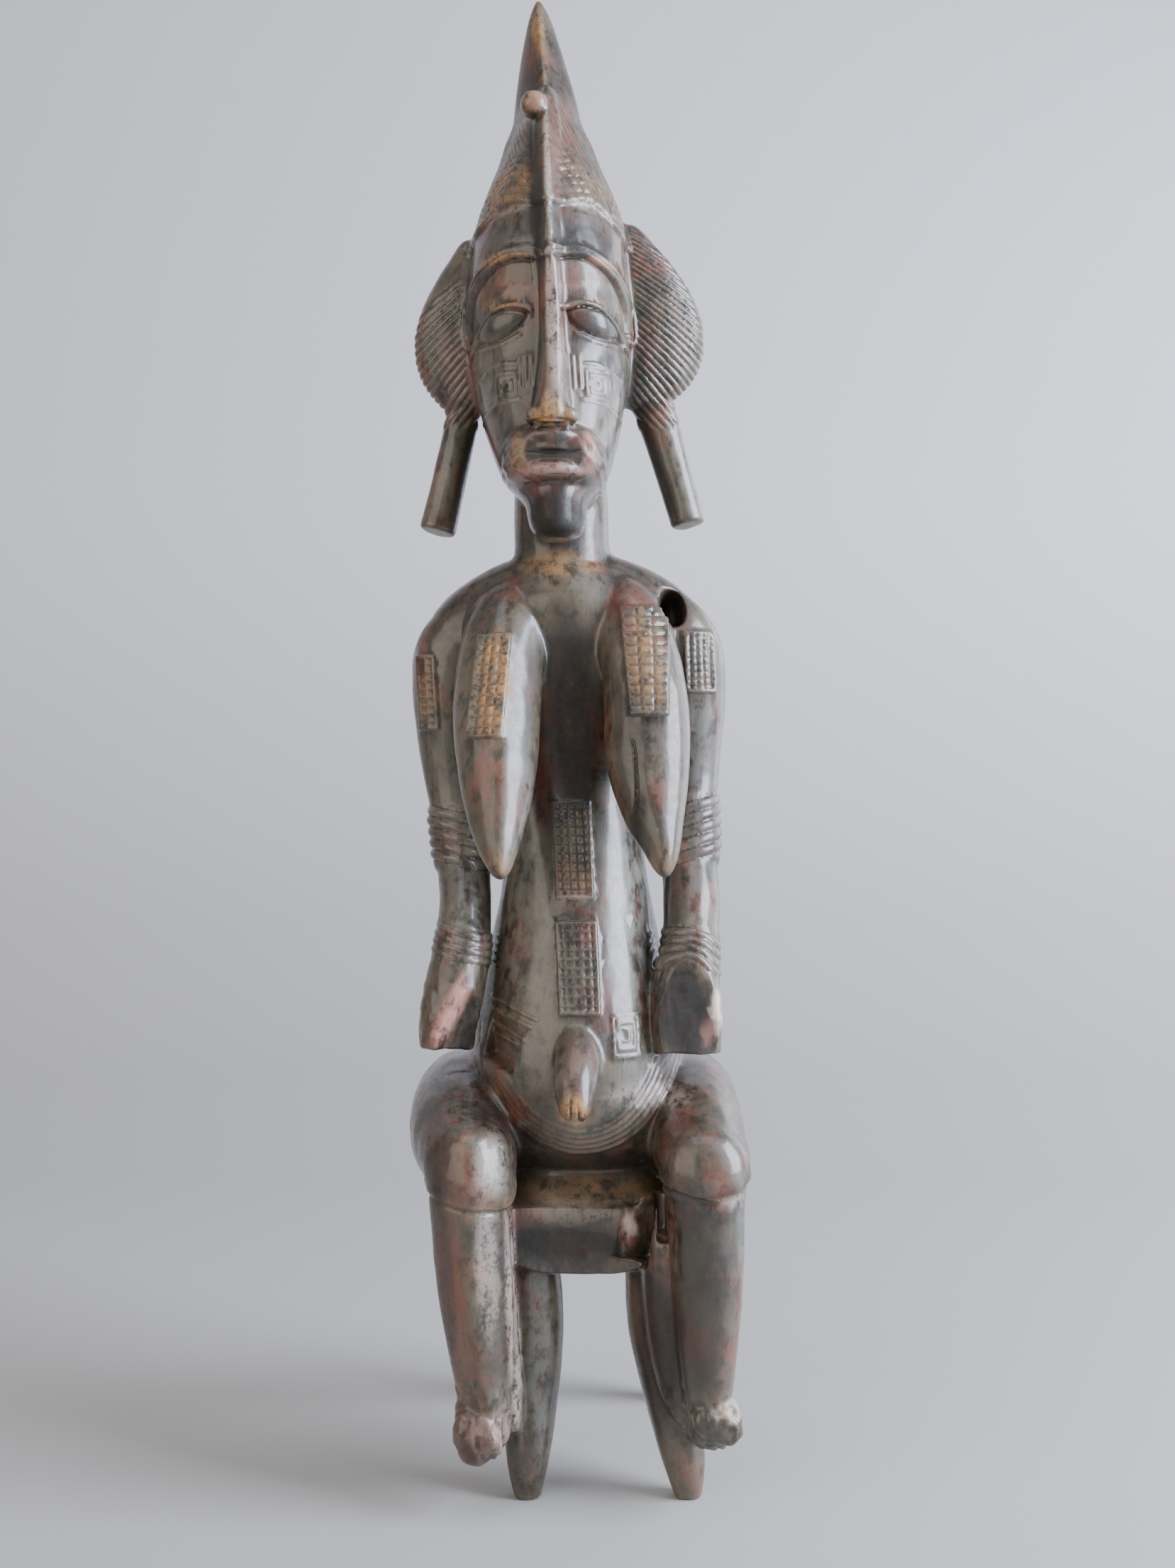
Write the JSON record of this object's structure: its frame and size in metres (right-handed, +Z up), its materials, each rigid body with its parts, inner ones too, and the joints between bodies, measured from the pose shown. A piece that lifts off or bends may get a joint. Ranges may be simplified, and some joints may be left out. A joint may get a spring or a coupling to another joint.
{
  "type": "seated female figure",
  "caption": "Tall carved wooden female figure seated on a legged stool, with a pointed crest, half-moon hair lobes, hanging braids and raised scar panels.",
  "frame": {"origin": "middle of the figure's box, on the ground under its four stool feet", "axes": "+Z up from the stool feet to the tip of the crest, -Y the way the face looks, +X to the right of someone who looks at the face"},
  "size_m": [0.1358, 0.15, 0.6],
  "materials": {
    "dark_wood": "dark oiled and handled patina, satin, worn to brown on the high places"
  },
  "bodies": {
    "root": {"carved_figure": "dark_wood"}
  },
  "joints": []
}
